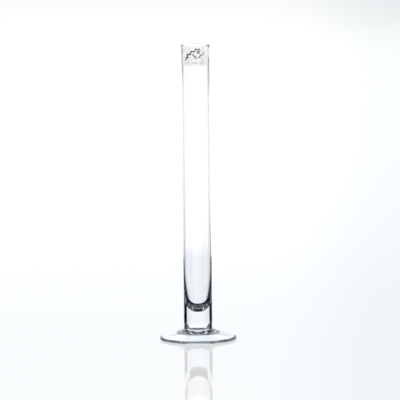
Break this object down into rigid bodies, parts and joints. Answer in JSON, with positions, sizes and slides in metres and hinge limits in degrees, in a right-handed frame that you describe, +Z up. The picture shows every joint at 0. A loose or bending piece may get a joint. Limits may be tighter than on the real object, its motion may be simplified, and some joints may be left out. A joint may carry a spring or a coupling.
{
  "type": "single-stem bud vase",
  "caption": "Tall slim clear glass bud vase: thin-walled tube with a heavy solid base on a disc foot, with a clear printed label under the rim.",
  "frame": {"origin": "middle of the foot's resting plane, on the tube's axis", "axes": "+Z up along the tube's axis to the rim; -Y towards the label, which faces the viewer; +X to the viewer's right"},
  "size_m": [0.078, 0.078, 0.3],
  "materials": {
    "tube_glass": "clear fire-polished glass",
    "foot_glass": "clear fire-polished glass",
    "adhesive": "clear acrylic adhesive",
    "film": "clear gloss film",
    "dark_ink": "printed ink",
    "pink_ink": "printed ink",
    "grey_ink": "printed ink"
  },
  "bodies": {
    "root": {"tube": "tube_glass", "foot": "foot_glass", "label_adhesive": "adhesive", "label_film": "film", "print_sprig": "dark_ink", "print_bud": "pink_ink", "print_dashes": "grey_ink"}
  },
  "joints": []
}
